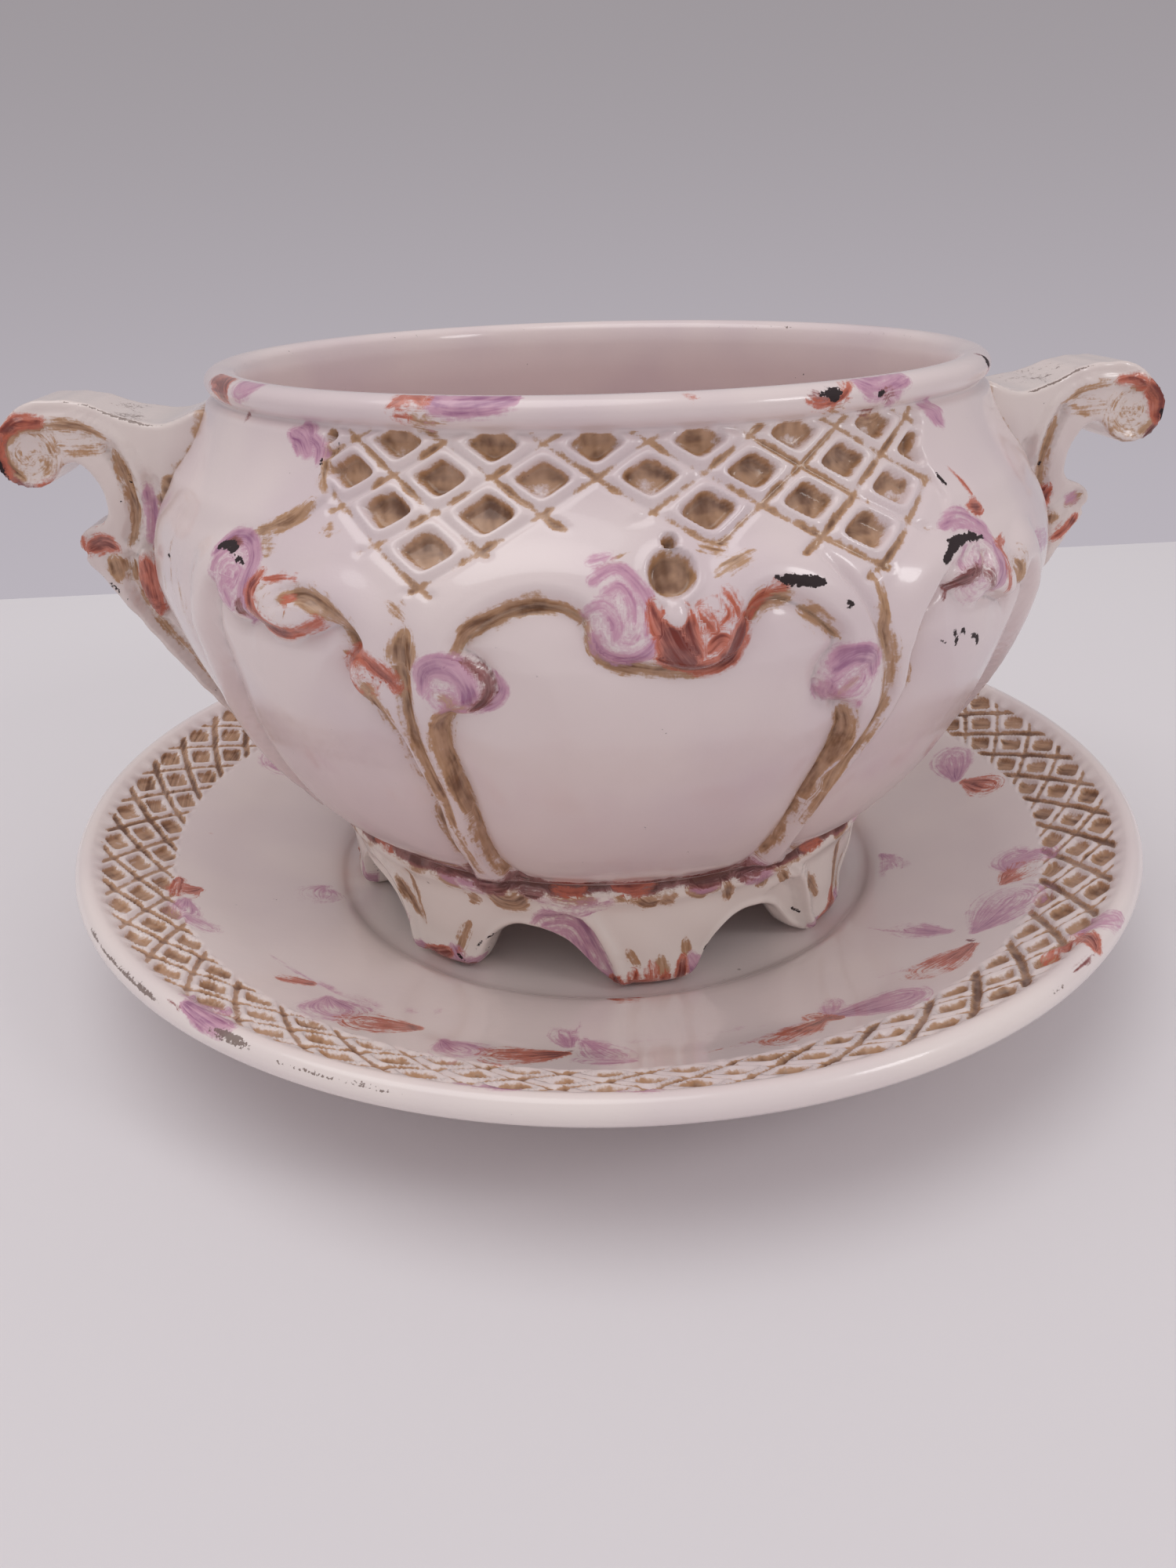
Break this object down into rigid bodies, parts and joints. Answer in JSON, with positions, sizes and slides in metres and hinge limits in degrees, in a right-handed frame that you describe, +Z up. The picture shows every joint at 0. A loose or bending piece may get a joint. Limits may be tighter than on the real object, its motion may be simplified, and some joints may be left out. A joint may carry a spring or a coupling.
{
  "type": "cache pot with saucer",
  "caption": "Round bellied cache pot with a sunk trellis band, scroll relief, a scalloped foot and two scroll handles, standing in a deep trellised saucer.",
  "frame": {"origin": "on the pot's axis, in the plane that the saucer's standing ring rests on", "axes": "+X towards the right handle, the front cartouche faces -Y, +Z up through the mouth"},
  "size_m": [0.2874, 0.2858, 0.1483],
  "materials": {
    "saucer_glaze": "glossy milk-white glaze, ochre in the sunk trellis, brushed lilac and rust touches, worn at the lip",
    "bowl_glaze": "glossy milk-white glaze, ochre in the recesses and along the mouldings, lilac and rust on the scrolls",
    "foot_glaze": "glossy white glaze, ochre and purple-brown under the joint, rust toes, dark worn arrises",
    "handle_glaze": "glossy cream-white glaze, ochre grooves, rust rims, specked where the glaze is worn"
  },
  "bodies": {
    "saucer": {"saucer": "saucer_glaze"},
    "pot": {"pot_bowl": "bowl_glaze", "foot_ring": "foot_glaze", "handle_left": "handle_glaze", "handle_right": "handle_glaze"}
  },
  "joints": [
    {"name": "pot_lift", "type": "slide", "parent": "saucer", "child": "pot", "axis": [0, 0, 1], "range_m": [0, 0.08]}
  ]
}
